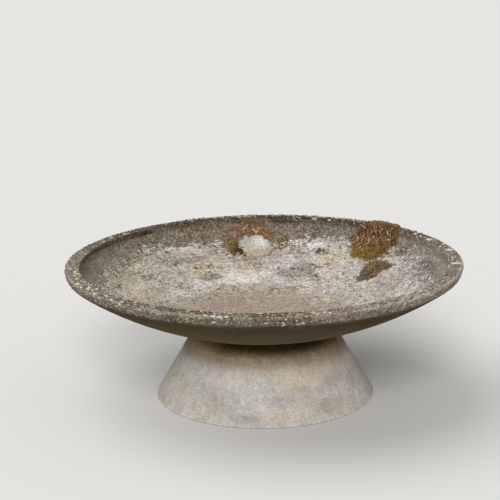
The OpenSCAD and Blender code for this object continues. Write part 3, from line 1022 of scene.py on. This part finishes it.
def build_flakes(section, count=2600, crumbs=280, seed=511):
    """Lichen and lime on the rim: small flakes, crumbs that stand up along its back, and placed flakes."""
    random = np.random.default_rng(seed)
    azimuth = np.radians(random.uniform(-180, 180, 3 * count))
    run = section.run_at(random.uniform(LIP_R + 1 * MM, RIM_R + 26 * MM, 3 * count))
    point, _ = section.place(azimuth, run)
    wanted = np.maximum(round_the_axis(RIM_TONE, azimuth), 0.36) - 0.33
    wanted += 0.35 * (rough_noise(point, 60 * MM, seed) - 0.35)
    kept = np.flatnonzero(random.random(3 * count) < 3.2 * wanted)[:count]
    size = random.gamma(1.6, 1.1, len(kept)) + 1.6
    small = np.column_stack([azimuth[kept], run[kept], size * random.uniform(1, 2.2, len(kept)),
                             size * random.uniform(0.7, 1.1, len(kept)), random.uniform(-0.2, 0.3, len(kept)),
                             random.normal(0, 0.5, len(kept))])
    raised = np.column_stack([np.radians(random.uniform(30, 118, crumbs)),
                              section.run_at(random.uniform(RIM_R - 22 * MM, RIM_R - 4 * MM, crumbs)),
                              random.uniform(7, 16, crumbs), random.uniform(5, 10, crumbs),
                              random.uniform(0.4, 2.4, crumbs), random.normal(0, 0.3, crumbs)])
    big = np.array(BIG_FLAKES, float)
    large = np.column_stack([np.radians(big[:, 0]), section.run_at(big[:, 1] * MM), big[:, 2:4],
                             0.8 + 0 * big[:, 0], np.radians(big[:, 4])])
    points, faces = domes(section, *np.vstack([small, raised, large]).T, random)
    pale = np.concatenate([random.uniform(0, 1, len(kept)), random.uniform(0, 1, crumbs) ** 3,
                           np.ones(len(big))])
    dark = np.repeat(np.arange(len(pale)) >= len(kept), FLAKE_POINTS)
    tint = stained("#948b79", len(points), ((dark, "#756a5b"), (np.repeat(pale, FLAKE_POINTS), "#efebe3")))
    make_piece("lichen_flakes", points, faces, living_matter("dry_lichen", 2.5, 0.4 * MM, "#c0c0c0"), "bowl",
               {"tint": tint})


def build_lime_strokes(section, count=2400, seed=611):
    """Strokes of lime in the dish, left by drying water, and darker ones of dirt and painted shadow: low
    domes drawn out round the axis.

    They are thickest along the upper edge of the lime, and none lies on the silt in the middle.
    """
    random = np.random.default_rng(seed)
    azimuth = np.radians(random.uniform(-180, 180, 8 * count))
    radius = np.sqrt(random.uniform(0.24**2, 0.5**2, 8 * count))
    lime_gap = round_the_axis(LIME_EDGE, azimuth) * MM - radius
    silt_gap = round_the_axis(SILT_EDGE, azimuth) * MM - radius
    run = section.run_at(radius)
    point, _ = section.place(azimuth, run)
    wanted = ease(-24 * MM, 0, lime_gap) * ease(20 * MM, -40 * MM, silt_gap)
    wanted *= 0.14 + 0.7 * ease(56 * MM, 10 * MM, np.abs(lime_gap - 14 * MM))
    wanted *= ease(0.35, 0.6, rough_noise(point, 40 * MM, seed))
    kept = np.flatnonzero(random.random(8 * count) < wanted)[:count]
    right = towards(azimuth[kept], 8, 60, 34)
    wide = random.gamma(3, 0.8, len(kept)) + 2.2
    points, faces = domes(section, azimuth[kept], run[kept], wide * random.uniform(1.3, 2.9, len(kept)), wide,
                          0 * wide, random.normal(0, 0.5, len(kept)) + 1.3 * right, random)
    # A quarter are dark grey-brown: dirt, and painted shadow like that beside raised streaks of lime
    pale = random.random(len(kept)) < 0.75
    pale = np.where(pale, random.uniform(0.5, 1, len(kept)), random.uniform(0, 0.4, len(kept)))
    tint = stained("#8a7f70", len(points), ((np.repeat(pale, FLAKE_POINTS), "#ebe6dc"),))
    make_piece("lime_strokes", points, faces, living_matter("dry_lime", 3, 0.4 * MM, "#c8c8c8"), "bowl",
               {"tint": tint})


bowl_section = Section(bowl_stretches())
build_bowl(bowl_section)
build_base(Section(base_stretches()))
build_growths(bowl_section)
build_flakes(bowl_section)
build_lime_strokes(bowl_section)


# --- Floor and light ------------------------------------------------------------------------------

PALE = "#e9e8e5"
BOUNCE = "#746b5e"         # what the floor sends back to the planter, as a grey-brown floor would
AMBIENT = 0.33
FLOOR_HALF = 30            # metres from the middle to an edge
# Lamps, as energy, spread, height and azimuth in degrees: one high on the left, one low in front.
# With the ambient light, a level surface gets about pi from them, so it shows its own colour.
LAMPS = {"high": (1.2, 60, 60, 165), "low": (1.9, 28, 31, -92)}


def background_rays(tree):
    """1 for the rays that see a background: the camera's, and those that a gloss or a glass sends on."""
    path = node(tree, "LightPath", out=None)
    glossy = node(tree, "Math", {0: path["Is Camera Ray"], 1: path["Is Glossy Ray"]}, operation="MAXIMUM")
    return node(tree, "Math", {0: glossy, 1: path["Is Transmission Ray"]}, operation="MAXIMUM")


def build_floor():
    """Plain floor, rolled with a pale matte paint that has no gloss and keeps the planter's shadow."""
    material, tree = new_material("matte_floor_paint")
    tint = node(tree, "Mix", {0: background_rays(tree), 6: colour(BOUNCE), 7: colour(PALE)},
                out=2, data_type="RGBA")
    node(tree, "OutputMaterial", {"Surface": node(tree, "BsdfDiffuse", {"Color": tint})})
    mesh = bpy.data.meshes.new("floor")
    corners = [(x * FLOOR_HALF, y * FLOOR_HALF, 0) for x, y in ((-1, -1), (1, -1), (1, 1), (-1, 1))]
    mesh.from_pydata(corners, [], [(0, 1, 2, 3)])
    mesh.materials.append(material)
    floor = bpy.data.objects.new("floor", mesh)
    bpy.context.scene.collection.objects.link(floor)


def build_light():
    """Soft daylight, high from the left and low from the front, and an even light from all round."""
    world = bpy.data.worlds.new("studio")
    world.use_nodes = True
    tree = world.node_tree
    tree.nodes.clear()
    level = node(tree, "Mix", {0: background_rays(tree), 2: AMBIENT, 3: 1.0})
    sky = node(tree, "Background", {"Color": (1, 1, 1, 1), "Strength": level})
    node(tree, "OutputWorld", {"Surface": sky})
    bpy.context.scene.world = world
    for name, (energy, spread, height, azimuth) in LAMPS.items():
        lamp = bpy.data.lights.new(name, "SUN")
        lamp.energy = energy
        lamp.angle = math.radians(spread)
        sun = bpy.data.objects.new(name, lamp)
        sun.matrix_world = (Matrix.Rotation(math.radians(azimuth), 4, "Z")
                            @ Matrix.Rotation(math.radians(90 - height), 4, "Y"))
        bpy.context.scene.collection.objects.link(sun)


build_floor()
build_light()
bpy.context.scene.view_settings.view_transform = "Standard"
